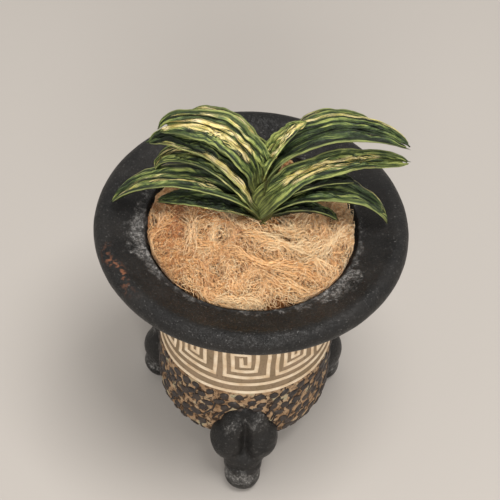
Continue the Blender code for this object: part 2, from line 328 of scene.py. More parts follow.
def belly_clay():
    """Rough peach clay between the spots, stained brown in patches, with a greenish cream wash."""
    finish = Finish("belly_clay", Specular_IOR_Level=0.25)
    cloud = finish.grain(170, detail=4, roughness=0.6)
    body = finish.ramp(
        cloud,
        (0.28, tone(92, 68, 46)),
        (0.42, tone(158, 126, 94)),
        (0.56, tone(184, 154, 122)),
        (0.68, tone(178, 172, 142)),
    )
    stain = finish.spread(finish.grain(420, detail=5, roughness=0.7, distortion=0.6), 0.47, 0.58)
    body = finish.mix(stain, body, tone(60, 45, 34))
    finish.colour(body)
    finish.rough(0.78)
    finish.bump(finish.grain(650, detail=5, roughness=0.7), 0.6 * MM)
    return finish.material


def cream_slip():
    """Trailed slip, chalky and slightly uneven."""
    finish = Finish("cream_slip", Specular_IOR_Level=0.25)
    wash = finish.grain(260, detail=4)
    finish.colour(finish.ramp(wash, (0.3, tone(216, 188, 152)), (0.65, tone(243, 224, 196))))
    finish.rough(0.75)
    finish.bump(finish.grain(800, detail=4), 0.2 * MM)
    return finish.material


def dark_slip():
    """The belly's blobs and trails: near black, browner where it is thin, half matt."""
    finish = Finish("dark_slip", Specular_IOR_Level=0.5)
    wash = finish.grain(330, detail=4)
    finish.colour(finish.ramp(wash, (0.35, tone(34, 29, 29)), (0.7, tone(66, 54, 46))))
    finish.rough(finish.spread(finish.grain(500), 0.3, 0.7, 0.38, 0.62))
    finish.bump(finish.grain(900, detail=4), 0.3 * MM)
    return finish.material


def moss_finish():
    """Dry sphagnum: each strand carries its own shade of colour and how far down it lies, which darkens it
    towards brown as painted shade.
    """
    finish = Finish("moss_strand", Specular_IOR_Level=0.2, Sheen_Weight=0.3)
    shade = finish.sum("ADD", finish.painted("shade"), finish.spread(finish.grain(900), 0.2, 0.8, -0.2, 0.2))
    body = finish.ramp(
        shade,
        (0.05, tone(190, 122, 62)),
        (0.45, tone(250, 202, 142)),
        (0.9, tone(255, 230, 186)),
    )
    # Painted shade: the lower a strand lies in the mat, the darker and browner it is painted.
    painted_depth_shade = finish.spread(finish.painted("depth"), 0.0, 1.0)
    body = finish.mix(painted_depth_shade, body, tone(138, 86, 44))
    finish.colour(body)
    finish.rough(0.85)
    finish.bump(finish.grain(2500, detail=2), 0.1 * MM)
    return finish.material


def leaf_finish():
    """Variegated leaf: streaks run along the blade, cream where the mesh says, with a pale margin, painted
    highlight on the ribs' crests and painted shade in their furrows.
    """
    finish = Finish("variegated_leaf", Specular_IOR_Level=0.45)
    blade = finish.vector(finish.painted("along"), finish.painted("across"), finish.painted("seed"))
    fine = finish.grain(1.0, detail=3, roughness=0.65, where=finish.stretched((7, 44, 7), blade))
    broad = finish.grain(1.0, detail=2, where=finish.stretched((2.6, 9, 5), blade))
    cloud = finish.grain(260, detail=3)
    blotch = finish.spread(finish.grain(150, detail=4, distortion=0.8), 0.3, 0.7, -0.22, 0.22)
    pale = finish.sum("ADD", finish.painted("pale"), finish.spread(broad, 0.25, 0.75, -0.3, 0.35))
    pale = finish.sum("ADD", pale, finish.spread(fine, 0.35, 0.65, -0.32, 0.32))
    # Painted highlight and shade: the ribs' crests are painted paler and their furrows darker.
    pale = finish.sum("ADD", pale, finish.sum("MULTIPLY", finish.painted("rib"), 0.34))
    pale = finish.sum("ADD", pale, blotch)
    green = finish.ramp(
        pale,
        (0.0, tone(18, 28, 14)),
        (0.35, tone(42, 58, 30)),
        (0.68, tone(84, 102, 52)),
        (1.0, tone(158, 168, 92)),
    )
    streak = finish.sum("ADD", finish.painted("cream"), finish.spread(fine, 0.3, 0.7, -0.5, 0.5))
    streak = finish.sum("ADD", streak, finish.spread(broad, 0.2, 0.8, -0.2, 0.2))
    cream = finish.ramp(
        cloud,
        (0.3, tone(214, 198, 108)),
        (0.5, tone(234, 216, 146)),
        (0.7, tone(244, 228, 184)),
    )
    body = finish.mix(finish.spread(streak, 0.55, 0.8), green, cream)
    edge = finish.sum("MULTIPLY", finish.painted("margin"), finish.spread(broad, 0.3, 0.65, 0.1, 0.7))
    body = finish.mix(edge, body, tone(178, 186, 112))
    body = finish.mix(finish.painted("sheath"), body, tone(108, 106, 56))
    # Painted shade: dark lines along the ribs' furrows.
    furrow = finish.spread(finish.painted("rib"), -1.0, -0.4, 0.85, 0.0)
    body = finish.mix(furrow, body, tone(16, 22, 8))
    finish.colour(body)
    finish.rough(finish.spread(fine, 0.2, 0.8, 0.4, 0.55))
    crumple = finish.grain(330, detail=3, distortion=1.4)
    finish.bump(finish.sum("ADD", finish.sum("MULTIPLY", fine, 0.7), crumple), 0.6 * MM)
    return finish.material


def stem_finish():
    finish = Finish("stem_skin", Specular_IOR_Level=0.3)
    rings = finish.grain(1.0, detail=3, where=finish.stretched((300, 300, 900)))
    finish.colour(finish.ramp(rings, (0.35, tone(92, 84, 44)), (0.65, tone(128, 122, 66))))
    finish.rough(0.7)
    finish.bump(rings, 0.3 * MM)
    return finish.material


def root_finish():
    finish = Finish("root_skin", Specular_IOR_Level=0.25)
    chalk = finish.grain(500, detail=4)
    finish.colour(finish.ramp(chalk, (0.35, tone(176, 170, 150)), (0.65, tone(214, 208, 190))))
    finish.rough(0.85)
    finish.bump(chalk, 0.3 * MM)
    return finish.material


def dry_scale_finish():
    finish = Finish("dry_scale", Specular_IOR_Level=0.3)
    fibre = finish.grain(1.0, detail=3, where=finish.stretched((900, 900, 200)))
    finish.colour(finish.ramp(fibre, (0.3, tone(84, 52, 28)), (0.7, tone(176, 128, 78))))
    finish.rough(0.8)
    finish.bump(fibre, 0.2 * MM)
    return finish.material


def floor_finish():
    finish = Finish("studio_floor", Specular_IOR_Level=0.1)
    wash = finish.grain(3, detail=2)
    finish.colour(finish.ramp(wash, (0.3, tone(184, 179, 173)), (0.7, tone(187, 182, 176))))
    finish.rough(0.95)
    return finish.material


# Shared mesh calls


def piece(name, bm, materials, nodes=(), smooth=50):
    """Turns the bmesh into a piece that rides on the root body and stands for the CAD nodes named."""
    mesh = bpy.data.meshes.new(name)
    bm.to_mesh(mesh)
    bm.free()
    mesh.shade_smooth()
    mesh.set_sharp_from_angle(angle=math.radians(smooth))
    for material in materials:
        mesh.materials.append(material)
    obj = bpy.data.objects.new(name, mesh)
    bpy.context.scene.collection.objects.link(obj)
    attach(obj, "root")
    if nodes:
        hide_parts(*nodes)
    return obj


def paint(bm, name, rule):
    """Gives each point of the mesh a number that its finish reads."""
    layer = bm.verts.layers.float.new(name)
    for vert in bm.verts:
        vert[layer] = rule(vert.co)


def clamp(value, low=0.0, high=1.0):
    return max(low, min(high, value))


def bell(value, centre, half_width):
    """1 at the centre, falling smoothly to 0 at half_width from it."""
    distance = clamp(abs(value - centre) / half_width)
    return 1 - distance**2 * (3 - 2 * distance)


def turned(profile, steps, closed=True):
    """The (radius, height) outline, spun round Z."""
    bm = bmesh.new()
    verts = [bm.verts.new((radius, 0, height)) for radius, height in profile]
    ends = verts[1:] + verts[:1] if closed else verts[1:]
    edges = [bm.edges.new(pair) for pair in zip(verts, ends)]
    circle = {"cent": (0, 0, 0), "axis": (0, 0, 1), "angle": 2 * math.pi}
    bmesh.ops.spin(bm, geom=verts + edges, steps=steps, use_merge=True, **circle)
    bmesh.ops.remove_doubles(bm, verts=bm.verts, dist=0.001 * MM)
    bmesh.ops.recalc_face_normals(bm, faces=bm.faces)
    return bm


def straight_rod(rings, sides):
    """A capped rod of radius 1 along Z, from 0 to rings, with an edge loop at each whole number."""
    rod = bmesh.new()
    bmesh.ops.create_cone(rod, cap_ends=True, segments=sides, radius1=1, radius2=1, depth=rings)
    long_edges = [e for e in rod.edges if abs(e.verts[0].co.z - e.verts[1].co.z) > rings / 2]
    if rings > 1:
        bmesh.ops.subdivide_edges(rod, edges=long_edges, cuts=rings - 1)
    bmesh.ops.translate(rod, verts=rod.verts, vec=(0, 0, rings / 2))
    mesh = bpy.data.meshes.new("rod")
    rod.to_mesh(mesh)
    rod.free()
    return mesh


def add_trail(bm, points, outs, half_width, proud):
    """A trail of slip through points on the clay, half sunk in it. outs are the clay's normals there."""
    rod = straight_rod(len(points) - 1, 8)
    first = len(bm.verts)
    bm.from_mesh(rod)
    bpy.data.meshes.remove(rod)
    bm.verts.ensure_lookup_table()
    directions = [(b - a).normalized() for a, b in zip(points, points[1:])]
    before = directions[:1] + directions
    after = directions + directions[-1:]
    for vert in bm.verts[first:]:
        station = round(vert.co.z)
        forward = (before[station] + after[station]).normalized()
        mitre = 1 / max(0.6, forward.dot(after[station]))
        aside = outs[station].cross(forward).normalized() * mitre
        ending = 0.8 if station in (0, len(points) - 1) else 1.0
        vert.co = (
            points[station]
            + aside * (vert.co.x * half_width * ending)
            + outs[station] * (vert.co.y * proud * ending)
        )


# Pot


def arc(centre, radius, start, end, steps):
    """Points round centre in the (radius, height) plane, from angle start to end in degrees."""
    angles = [math.radians(start + (end - start) * i / steps) for i in range(steps + 1)]
    return [(centre[0] + radius * math.cos(a), centre[1] + radius * math.sin(a)) for a in angles]


def eased(start, end, steps):
    """Points between start and end whose radius leaves slowly and whose height leaves fast."""
    turns = [0.5 * math.pi * i / steps for i in range(1, steps)]
    wide, high = end[0] - start[0], end[1] - start[1]
    return [(start[0] + wide * (1 - math.cos(turn)), start[1] + high * math.sin(turn)) for turn in turns]


def straight(start, end, steps):
    wide, high = end[0] - start[0], end[1] - start[1]
    return [(start[0] + wide * i / steps, start[1] + high * i / steps) for i in range(steps)]


LIP = arc((RIM_RADIUS - LIP_RADIUS, LIP_HEIGHT), LIP_RADIUS, 110, -80, 22)
NECK_TOP = (NECK_RADIUS, 76 * MM)
FLARE = [LIP[-1]] + eased(NECK_TOP, LIP[-1], 22)[::-1]
WAIST = (NECK_RADIUS - 0.4 * MM, 62 * MM)
SHOULDER = (NECK_RADIUS + 0.7 * MM, BAND_BOTTOM)
NECK = straight(NECK_TOP, WAIST, 8) + straight(WAIST, SHOULDER, 8)
BELLY_TOP = (BELLY_RADIUS, BAND_BOTTOM - 1.2 * MM)
BELLY_LOW = (BELLY_RADIUS, FLOOR_UNDERSIDE + BELLY_TURN)
BELLY = [SHOULDER] + straight(BELLY_TOP, BELLY_LOW, 14)
BELLY += arc((BELLY_RADIUS - BELLY_TURN, BELLY_LOW[1]), BELLY_TURN, 0, -90, 12)
OUTSIDE = FLARE + NECK + BELLY


def wall_radius(height):
    """The outside radius of the pot's body at a height."""
    for (upper_radius, upper), (lower_radius, lower) in zip(OUTSIDE, OUTSIDE[1:]):
        if lower <= height <= upper and upper > lower:
            share = (height - lower) / (upper - lower)
            return lower_radius + (upper_radius - lower_radius) * share
    return OUTSIDE[-1][0]


def on_wall(turn, height, out=0.0):
    """A point on the outside wall, and the wall's normal there. Turns go to the right from the front."""
    around = Vector((math.sin(turn), -math.cos(turn), 0))
    step = 0.4 * MM
    slope = (wall_radius(height + step) - wall_radius(height - step)) / (2 * step)
    normal = Vector((around.x, around.y, -slope)).normalized()
    return around * wall_radius(height) + Vector((0, 0, height)) + normal * out, normal


def pot_outline():
    """The section through the wall: down the outside, in under the floor, and up the inside to the dish."""
    floor = [(DRAIN_RADIUS + 0.8 * MM, FLOOR_UNDERSIDE), (DRAIN_RADIUS, FLOOR_UNDERSIDE + 0.8 * MM)]
    floor += [(DRAIN_RADIUS, FLOOR_TOP - 0.8 * MM), (DRAIN_RADIUS + 0.8 * MM, FLOOR_TOP)]
    floor += [(18 * MM, FLOOR_TOP), (24 * MM, 27 * MM), (26 * MM, 36 * MM)]
    throat = [(NECK_RADIUS - WALL, 60 * MM), (NECK_RADIUS - WALL, 82 * MM)]
    throat += [(28.6 * MM, 89 * MM), (32 * MM, 96 * MM), (35 * MM, 101.5 * MM)]
    edge_radius = 0.7 * MM
    mouth = arc((MOUTH_RADIUS + edge_radius, LIP_HEIGHT - 0.4 * MM), edge_radius, 200, 70, 6)
    dish_start = (MOUTH_RADIUS + 1.5 * MM, LIP_HEIGHT + 0.15 * MM)
    dish = straight(dish_start, (46 * MM, LIP_HEIGHT + 2.5 * MM), 7)
    dish += straight((46 * MM, LIP_HEIGHT + 2.5 * MM), LIP[0], 4)
    return LIP + FLARE[1:] + NECK + BELLY + floor + throat + mouth + dish


def chalk_and_lip_highlight(place):
    """Where the chalk gathers: round the mouth, in two thick patches, and along the lip's crown at the front,
    where it is partly a painted highlight line.
    """
    radius = math.hypot(place.x, place.y)
    turn = math.degrees(math.atan2(place.x, -place.y))
    if place.z < 100 * MM:
        return 0.25
    mouth = bell(radius, MOUTH_RADIUS + 1 * MM, 5 * MM) * 0.26
    left = bell(radius, 41 * MM, 7 * MM) * bell(turn, -78, 42) * 0.34
    right = bell(radius, 43 * MM, 8 * MM) * bell(turn, 50, 42) * 0.3
    # Chalk specks along the front of the lip's crown, partly a painted highlight line.
    crown = bell(radius, RIM_RADIUS - 3.4 * MM, 2 * MM) * bell(turn, 10, 75) * 0.2
    return 0.1 + max(mouth + left + right, crown)


def lip_rust(place):
    """Where rust is rubbed through: a wandering stretch of the lip, on the left."""
    radius = math.hypot(place.x, place.y)
    turn = math.degrees(math.atan2(place.x, -place.y))
    wander = 1.2 * MM * math.sin(turn * 0.35)
    rubbed = bell(radius, RIM_RADIUS - 3.4 * MM + wander, 2.2 * MM) * bell(turn, -60, 17)
    return rubbed * (place.z > LIP_HEIGHT)


def build_pot(finishes):
    """The turned body, slightly dented. finishes are the stoneware, the band's clay and the belly's."""
    bm = turned(pot_outline(), POT_STEPS)
    band, belly = 1, 2
    for face in bm.faces:
        centre = face.calc_center_median()
        outward = face.normal.x * centre.x + face.normal.y * centre.y > 0
        if outward and BAND_BOTTOM < centre.z < BAND_TOP:
            face.material_index = band
        elif outward and FLOOR_UNDERSIDE < centre.z < BAND_BOTTOM:
            face.material_index = belly
    for vert in bm.verts:
        dent = noise.noise(vert.co * 60) * 0.25 + noise.noise(vert.co * 240) * 0.08
        radial = Vector((vert.co.x, vert.co.y, 0)).normalized()
        vert.co -= radial * (abs(dent) * MM * 0.8)
    paint(bm, "chalk_and_highlight", chalk_and_lip_highlight)
    paint(bm, "rust", lip_rust)
    piece("pot_body", bm, finishes, ["pot"], smooth=35)


def wobbly(corners, seed, step=1.3 * MM):
    """Points along the (across, height) corners, a step apart, with the wobble of a hand."""
    points = []
    for start, end in zip(corners, corners[1:]):
        first, last = Vector(start), Vector(end)
        count = max(1, round((last - first).length / step))
        points += [first.lerp(last, i / count) for i in range(count)]
    points.append(Vector(corners[-1]))
    for point in points:
        shift = noise.noise_vector(Vector((point.x, point.y, seed)) * 160) * 0.32 * MM
        point += Vector((shift.x, shift.y))
    return points


def key_lines():
    """One key of the fret in (across, height): a square spiral in an open frame, both up to the top line."""
    top = BAND_TOP - 1 * MM
    corners = [(-2.1, 70.2), (-2.1, 65.2), (0.7, 65.2), (0.7, 71.8), (-5.2, 71.8), (-5.0, 62.0), (3.7, 62.0)]
    spiral = [(x * MM, z * MM) for x, z in corners] + [(3.9 * MM, top)]
    frame_line = [(-8.3 * MM, top), (-8.0 * MM, 58.6 * MM), (8.0 * MM, 58.6 * MM), (8.2 * MM, top)]
    return spiral, frame_line


def build_fret(finish):
    """The slip lines of the band: the keys, and three rings."""
    bm = bmesh.new()
    sunk = -0.02 * MM
    for key in range(KEY_COUNT):
        centre = FIRST_KEY_TURN + 2 * math.pi * key / KEY_COUNT
        for line in key_lines():
            path = [
                on_wall(centre + point.x / (NECK_RADIUS + 0.3 * MM), point.y, sunk)
                for point in wobbly(line, seed=key * 0.05)
            ]
            places, outs = zip(*path)
            add_trail(bm, list(places), outs, SLIP_HALF_WIDTH, SLIP_PROUD)
    for ring, height in enumerate(RING_HEIGHTS):
        add_ring_line(bm, height, ring)
    piece("fret_lines", bm, [finish], smooth=60)


def add_ring_line(bm, height, seed):
    """A slip line that runs right round the band."""
    ring = turned(
        [
            (wall_radius(height) + SLIP_PROUD * math.cos(a), height + SLIP_HALF_WIDTH * math.sin(a))
            for a in [math.pi * i / 4 for i in range(8)]
        ],
        150,
    )
    for vert in ring.verts:
        shift = noise.noise(Vector((vert.co.x, vert.co.y, seed * 0.1)) * 90)
        vert.co.z += shift * 0.3 * MM
    mesh = bpy.data.meshes.new("ring")
    ring.to_mesh(mesh)
    ring.free()
    bm.from_mesh(mesh)
    bpy.data.meshes.remove(mesh)


def clear_of_feet(turn, height):
    """True where the belly isn't covered by a foot."""
    for angle in FOOT_TURNS.values():
        foot_turn = math.radians(angle + 90)
        away = abs((turn - foot_turn + math.pi) % (2 * math.pi) - math.pi)
        if away < FOOT_HALF_TURN and height < FOOT_HEIGHT:
            return False
    return True


def build_belly_spots(finish):
    """Raised blobs of dark slip in loose rows, with thin trails running down from them."""
    pen = random.Random(41)
    spots, trails = bmesh.new(), bmesh.new()
    top, bottom = BAND_BOTTOM - 2.6 * MM, FLOOR_UNDERSIDE + 1.6 * MM
    for row in range(SPOT_ROWS):
        for column in range(SPOTS_IN_ROW):
            height = top + (bottom - top) * (row + pen.uniform(-0.28, 0.28)) / (SPOT_ROWS - 1)
            height = clamp(height, bottom, top)
            turn = 2 * math.pi * (column + 0.5 * (row % 2) + pen.uniform(-0.26, 0.26)) / SPOTS_IN_ROW
            wide, tall = pen.uniform(1.6, 2.4) * MM, pen.uniform(1.25, 1.75) * MM
            tilt = pen.uniform(-0.2, 1.0)
            with_trail = pen.random() < 0.62
            drift, length = pen.uniform(-0.8, 0.1), pen.uniform(5, 12) * MM
            if pen.random() < 0.06 or not clear_of_feet(turn, height):
                continue
            add_spot(spots, turn, height, wide, tall, tilt)
            if with_trail:
                add_drip(trails, turn, height, drift, length)
    piece("belly_spots", spots, [finish])
    piece("belly_trails", trails, [finish])


def add_spot(bm, turn, height, wide, tall, tilt):
    """A flat, uneven blob of slip, half sunk in the clay."""
    place, out = on_wall(turn, height)
    around = Vector((math.cos(turn), math.sin(turn), 0))
    upward = out.cross(around)
    lie = Matrix((around, upward, out)).transposed().to_4x4()
    lying = Matrix.Translation(place) @ lie @ Matrix.Rotation(tilt, 4, "Z")
    shape = Matrix.Diagonal((wide, tall, 0.55 * MM, 1))
    first = len(bm.verts)
    bmesh.ops.create_icosphere(bm, subdivisions=2, radius=1, matrix=lying @ shape)
    bm.verts.ensure_lookup_table()
    for vert in bm.verts[first:]:
        vert.co += (vert.co - place) * (noise.noise(vert.co * 420) * 0.35)


def add_drip(bm, turn, height, drift, length):
    """A thin trail that runs down the belly from a blob."""
    stations = 7
    path = []
    for i in range(stations):
        down = length * i / (stations - 1)
        level = max(height - down, FLOOR_UNDERSIDE + 0.6 * MM)
        sway = 0.5 * MM * math.sin(i * 1.3 + turn * 9)
        path.append(on_wall(turn + (drift * down + sway) / BELLY_RADIUS, level))
    if (path[0][0] - path[-1][0]).length < 2 * MM or path[-1][0].z >= path[-2][0].z:
        return
    places, outs = zip(*path)
    add_trail(bm, list(places), outs, 0.36 * MM, 0.32 * MM)


def foot_bloom(place):
    """Chalk on the toe and on the shoulders of the lobes."""
    toe = bell(place.z, 9 * MM, 7 * MM) * 0.28
    lobes = bell(place.z, 36 * MM, 7 * MM) * 0.2
    return 0.2 + toe + lobes


def blended_foot(name):
    """The foot's forms, run together by a voxel remesh, smoothed, and cut flat at the ground."""
    bm = bmesh.new()
    for centre, radii in FOOT_FORMS:
        place = Matrix.Translation(Vector(centre) * MM) @ Matrix.Diagonal((*(Vector(radii) * MM), 1))
        bmesh.ops.create_icosphere(bm, subdivisions=4, radius=1, matrix=place)
    mesh = bpy.data.meshes.new(name)
    bm.to_mesh(mesh)
    bm.free()
    rough = bpy.data.objects.new(name + "_rough", mesh)
    bpy.context.scene.collection.objects.link(rough)
    remesh = rough.modifiers.new("Blend", "REMESH")
    remesh.mode = "VOXEL"
    remesh.voxel_size = FOOT_VOXEL
    blended = bpy.data.meshes.new_from_object(rough.evaluated_get(bpy.context.evaluated_depsgraph_get()))
    bpy.data.objects.remove(rough, do_unlink=True)
    bm = bmesh.new()
    bm.from_mesh(blended)
    bpy.data.meshes.remove(blended)
    for _ in range(7):
        bmesh.ops.smooth_vert(
            bm, verts=bm.verts, factor=0.5, use_axis_x=True, use_axis_y=True, use_axis_z=True
        )
    cut = bmesh.ops.bisect_plane(
        bm,
        geom=bm.verts[:] + bm.edges[:] + bm.faces[:],
        plane_co=(0, 0, 0),
        plane_no=(0, 0, -1),
        clear_outer=True,
    )
    rim = [e for e in cut["geom_cut"] if isinstance(e, bmesh.types.BMEdge)]
    bmesh.ops.contextual_create(bm, geom=rim)
    return bm


def build_foot(name, angle, finish):
    """Two swelling lobes with a soft groove between them, a heel, a collar and a round toe."""
    bm = blended_foot(name)
    for vert in bm.verts:
        groove = bell(vert.co.y, 0.6 * MM, 3.1 * MM)
        groove *= clamp((vert.co.z - 15 * MM) / (9 * MM)) * clamp((39 * MM - vert.co.z) / (7 * MM))
        swell = noise.noise(vert.co * 140) * 0.35 + noise.noise(vert.co * 420) * 0.12
        if vert.co.z > 0.2 * MM:
            collar = bell(vert.co.z, 13.4 * MM, 0.9 * MM) * 0.35
            vert.co.x += (swell - groove * 1.5 - collar) * MM
        radius = math.hypot(vert.co.x, vert.co.y)
        if radius < FOOT_ROOT_RADIUS:
            vert.co.xy *= FOOT_ROOT_RADIUS / radius
    bmesh.ops.recalc_face_normals(bm, faces=bm.faces)
    outward = Matrix.Rotation(math.radians(angle), 3, "Z")
    bmesh.ops.rotate(bm, verts=bm.verts, cent=(0, 0, 0), matrix=outward)
    paint(bm, "chalk_and_highlight", foot_bloom)
    paint(bm, "rust", lambda place: 0.0)
    piece("foot_" + name, bm, [finish])


# Moss


def moss_height(x, y):
    """The mound's surface: a low lumpy dome, fuller at the front, where it meets the mouth's edge."""
    lean = y + 1.0 * MM
    radius = math.hypot(x, lean)
    fullness = 0.5 - 0.5 * y / MOSS_REACH
    fall = (2.6 + 3.0 * (1 - fullness)) * MM * (radius / MOSS_REACH) ** 3.0
    lump = noise.noise(Vector((x, y, 0)) * 105) * 3.0 * MM
    lump += noise.noise(Vector((x, y, 0.3)) * 250) * 0.7 * MM
    return MOSS_HIGH.z - 0.9 * MM - fall + lump


def moss_edge(x, y):
    """How far out the moss reaches this way: to the mouth's edge in front, short of it elsewhere."""
    turn = math.atan2(x, -y)
    front = clamp(1.5 - abs(turn) / 1.3)
    ragged = noise.noise(Vector((math.sin(turn), math.cos(turn), 0)) * 7)
    return MOSS_REACH - (1 - front) * (1.9 + 1.2 * ragged) * MM


def inside_mouth(place):
    """Draws a point that lies past the moss's edge back to it, and a little down."""
    edge = moss_edge(place.x, place.y)
    radius = math.hypot(place.x, place.y)
    if radius <= edge:
        return place
    pulled = place.copy()
    past = min(radius - edge, 3 * MM)
    pulled.xy *= (edge - 0.3 * past) / radius
    pulled.z -= 0.9 * past
    return pulled


def build_moss_bed(finish):
    """The mass of the moss under its strands: the plug in the throat, with a lumpy top."""
    top = MOSS_HIGH.z
    dome = [(0, top)] + [(MOSS_REACH * i / 24, top) for i in range(1, 24)]
    wall = [(34.2 * MM, 101.2 * MM), (31.3 * MM, 96 * MM), (27.9 * MM, 89 * MM), (25.8 * MM, 82 * MM)]
    wall += [(25.8 * MM, 60 * MM), (25.2 * MM, MOSS_LOW.z + 4 * MM)]
    wall += [(22.4 * MM, MOSS_LOW.z), (0, MOSS_LOW.z)]
    bm = turned(dome + wall, 96, closed=False)
    for vert in bm.verts:
        if vert.co.z > top - 0.1 * MM:
            vert.co.z = moss_height(vert.co.x, vert.co.y) - 1.9 * MM
            vert.co.z -= 5 * MM * clamp((vert.co.xy.length - 30 * MM) / (6 * MM)) ** 2
            vert.co = inside_mouth(vert.co)
    paint(bm, "shade", lambda place: 0.28 + 0.3 * noise.noise(place * 300))
    # Painted shade: the bed under the strands is painted almost wholly in the dark brown of the lowest moss.
    paint(bm, "depth", lambda place: 0.95)
    piece("moss_bed", bm, [finish], ["moss"], smooth=180)


def flow(x, y, pen):
    """The way the strands lie: mostly round the pot, swirling."""
    around = math.atan2(y, x) + math.pi / 2
    swirl = noise.noise(Vector((x, y, 0.7)) * 60) * 2.4
    return around + swirl + pen.gauss(0, 0.5)


def left_dulling(place):
    """Makes the moss duller and browner towards its left edge."""
    return 0.4 * clamp(-(place.x + 10 * MM) / (26 * MM))


def tuft_strands(pen):
    """Strands in tufts, each tuft combed one way, arched, and lowest at its sides."""
    strands = []
    for tuft in range(TUFT_COUNT):
        share = (tuft + 0.5) / TUFT_COUNT
        radius = MOSS_REACH * 0.97 * math.sqrt(share)
        angle = tuft * GOLDEN_ANGLE
        centre = Vector((radius * math.cos(angle), radius * math.sin(angle), 0))
        heading = flow(centre.x, centre.y, pen)
        length = pen.uniform(16, 30) * MM
        half_width = pen.uniform(2.4, 4.2) * MM
        arch = pen.uniform(0.2, 3.8) * MM
        bend = pen.uniform(-0.9, 0.9)
        shade = pen.uniform(0.35, 1.0) if pen.random() > 0.1 else pen.uniform(-0.1, 0.2)
        for _ in range(STRANDS_IN_TUFT):
            aside = pen.gauss(0, 0.5) * half_width
            crown = max(1 - 1.8 * (aside / half_width) ** 2, -0.5)
            strands.append(
                {
                    "centre": centre,
                    "heading": heading + pen.gauss(0, 0.27),
                    "length": length * pen.uniform(0.2, 0.6),
                    "aside": aside,
                    "arch": arch * crown + pen.uniform(-0.7, 0.4) * MM,
                    "bend": bend + pen.gauss(0, 0.15),
                    "radius": pen.uniform(0.06, 0.14) * MM,
                    "shade": clamp(shade + pen.gauss(0, 0.11) - left_dulling(centre)),
                    # How far the strand sinks, and how much painted shade darkens it: more at a tuft's sides.
                    "depth": clamp(pen.gauss(0.0, 0.2) + 0.5 * abs(aside / half_width) - 0.15),
                    "slide": pen.uniform(-0.4, 0.4) * length,
                    "wave": pen.uniform(0, 6.3),
                }
            )
    return strands


def stray_strands(pen):
    """Short curly strands lying anywhere on the moss."""
    strays = []
    for _ in range(STRAY_COUNT):
        radius = MOSS_REACH * 0.98 * math.sqrt(pen.random())
        angle = pen.uniform(0, 2 * math.pi)
        centre = Vector((radius * math.cos(angle), radius * math.sin(angle), 0))
        strays.append(
            {
                "centre": centre,
                "heading": flow(centre.x, centre.y, pen) + pen.gauss(0, 1.0),
                "length": pen.uniform(1.2, 5) * MM,
                "aside": 0,
                "arch": pen.uniform(0.4, 3.6) * MM,
                "bend": pen.uniform(-2.6, 2.6),
                "radius": pen.uniform(0.07, 0.14) * MM,
                "shade": clamp(pen.uniform(0.2, 1.0) - left_dulling(centre)),
                "depth": 0.0,
                "slide": 0,
                "wave": pen.uniform(0, 6.3),
            }
        )
    return strays


def build_moss_strands(finish):
    pen = random.Random(7)
    strands = tuft_strands(pen)
    for number, first in enumerate(range(0, len(strands), STRANDS_IN_PIECE)):
        add_strands(f"moss_strands_{number + 1}", strands[first : first + STRANDS_IN_PIECE], 6, finish)
    add_strands("moss_fuzz", stray_strands(pen), 4, finish)


def add_strands(name, strands, rings, finish):
    """One piece of three-sided strands, each bent at its rings."""
    rod = straight_rod(rings, 3)
    bm = bmesh.new()
    for _ in strands:
        bm.from_mesh(rod)
    size = len(rod.vertices)
    bpy.data.meshes.remove(rod)
    shade = bm.verts.layers.float.new("shade")
    depth = bm.verts.layers.float.new("depth")
    for index, vert in enumerate(bm.verts):
        strand = strands[index // size]
        vert[shade] = strand["shade"]
        vert[depth] = strand["depth"]
        vert.co = strand_point(strand, vert.co, rings)
    piece(name, bm, [finish], smooth=180)


def strand_point(strand, place, rings):
    """Where a point of the straight rod goes on the bent strand, which is tucked under at both ends."""
    along = place.z / rings - 0.5
    heading = strand["heading"] + strand["bend"] * along
    forward = Vector((math.cos(heading), math.sin(heading), 0))
    aside = Vector((-forward.y, forward.x, 0))
    run = strand["slide"] + along * strand["length"]
    wave = 0.45 * MM * math.sin(10 * along + strand["wave"])
    spine = strand["centre"] + forward * run + aside * (strand["aside"] * (1 - 0.7 * abs(along)) + wave)
    tuck = (2 * abs(along)) ** 3
    spine.z = moss_height(spine.x, spine.y) + strand["arch"] * (1 - tuck) - 1.1 * MM * tuck
    spine.z -= strand["depth"] * 0.9 * MM
    thin = strand["radius"] * (1 - 0.55 * (2 * abs(along)) ** 2)
    return inside_mouth(spine) + aside * (place.x * thin) + Vector((0, 0, place.y * thin))


# Plant


